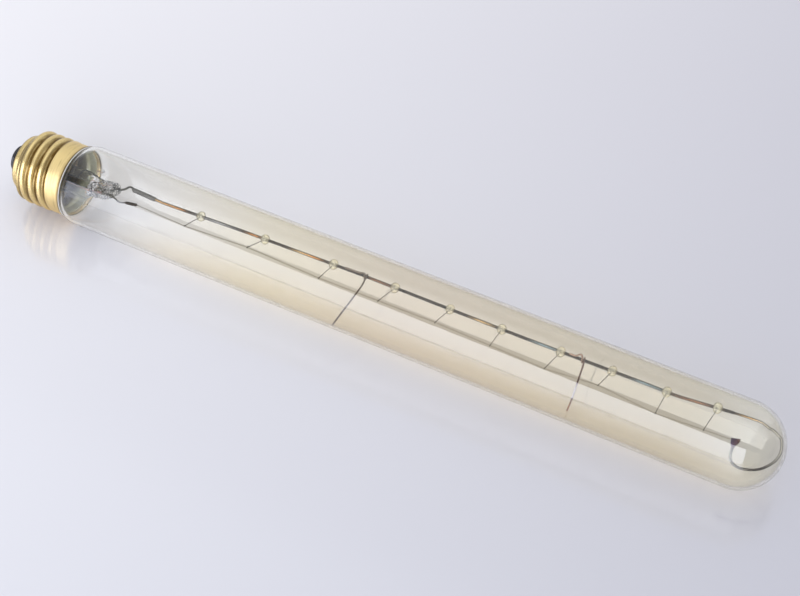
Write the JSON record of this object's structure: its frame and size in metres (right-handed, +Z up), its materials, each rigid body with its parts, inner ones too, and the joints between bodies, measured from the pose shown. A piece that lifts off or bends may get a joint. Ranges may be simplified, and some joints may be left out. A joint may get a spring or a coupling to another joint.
{
  "type": "tubular filament lamp",
  "caption": "Long tubular filament lamp: clear tube with a round dome, rolled brass screw base, and a long coiled filament hung on hooks from a beaded rod.",
  "frame": {"origin": "middle of the centre contact's flat face, at the end of the base", "axes": "+X along the lamp's axis from the centre contact to the top of the dome; +Z up as it lies in the picture"},
  "size_m": [0.288, 0.0288, 0.0288],
  "materials": {
    "tube_glass": "clear, faint amber tint",
    "stem_glass": "clear",
    "bead_glass": "pale yellow, glossy",
    "cement": "matt",
    "shell_brass": "bright rolled sheet",
    "contact_brass": "satin",
    "black_glass": "gloss black",
    "solder": "dull tin grey",
    "copper_wire": "drawn",
    "lead_steel": "drawn nickel, darkened",
    "sleeve_steel": "crimped, grey",
    "rod_steel": "dark, heat tinted",
    "clamp_steel": "heat blued",
    "spring_steel": "brown, heat tinted",
    "hook_steel": "drawn",
    "filament_metal": "fine coil, matt grey"
  },
  "bodies": {
    "root": {"envelope": "tube_glass", "stem_flare": "stem_glass", "exhaust_tube": "stem_glass", "basing_cement": "cement", "screw_shell": "shell_brass", "insulator": "black_glass", "contact_plate": "contact_brass", "contact_solder": "solder", "rim_solder": "solder", "outer_lead_contact": "copper_wire", "outer_lead_shell": "copper_wire", "dumet_seal_1": "copper_wire", "dumet_seal_2": "copper_wire", "inner_lead_long": "lead_steel", "inner_lead_short": "lead_steel", "rod_sleeve": "sleeve_steel", "filament_sleeve": "sleeve_steel", "support_rod": "rod_steel", "end_clamp": "clamp_steel", "filament": "filament_metal", "steady_spring_1": "spring_steel", "steady_spring_2": "spring_steel", "bead_01": "bead_glass", "bead_02": "bead_glass", "bead_03": "bead_glass", "bead_04": "bead_glass", "bead_05": "bead_glass", "bead_06": "bead_glass", "bead_07": "bead_glass", "bead_08": "bead_glass", "bead_09": "bead_glass", "bead_10": "bead_glass", "anchor_01": "hook_steel", "anchor_02": "hook_steel", "anchor_03": "hook_steel", "anchor_04": "hook_steel", "anchor_05": "hook_steel", "anchor_06": "hook_steel", "anchor_07": "hook_steel", "anchor_08": "hook_steel", "anchor_09": "hook_steel", "anchor_10": "hook_steel"}
  },
  "joints": []
}
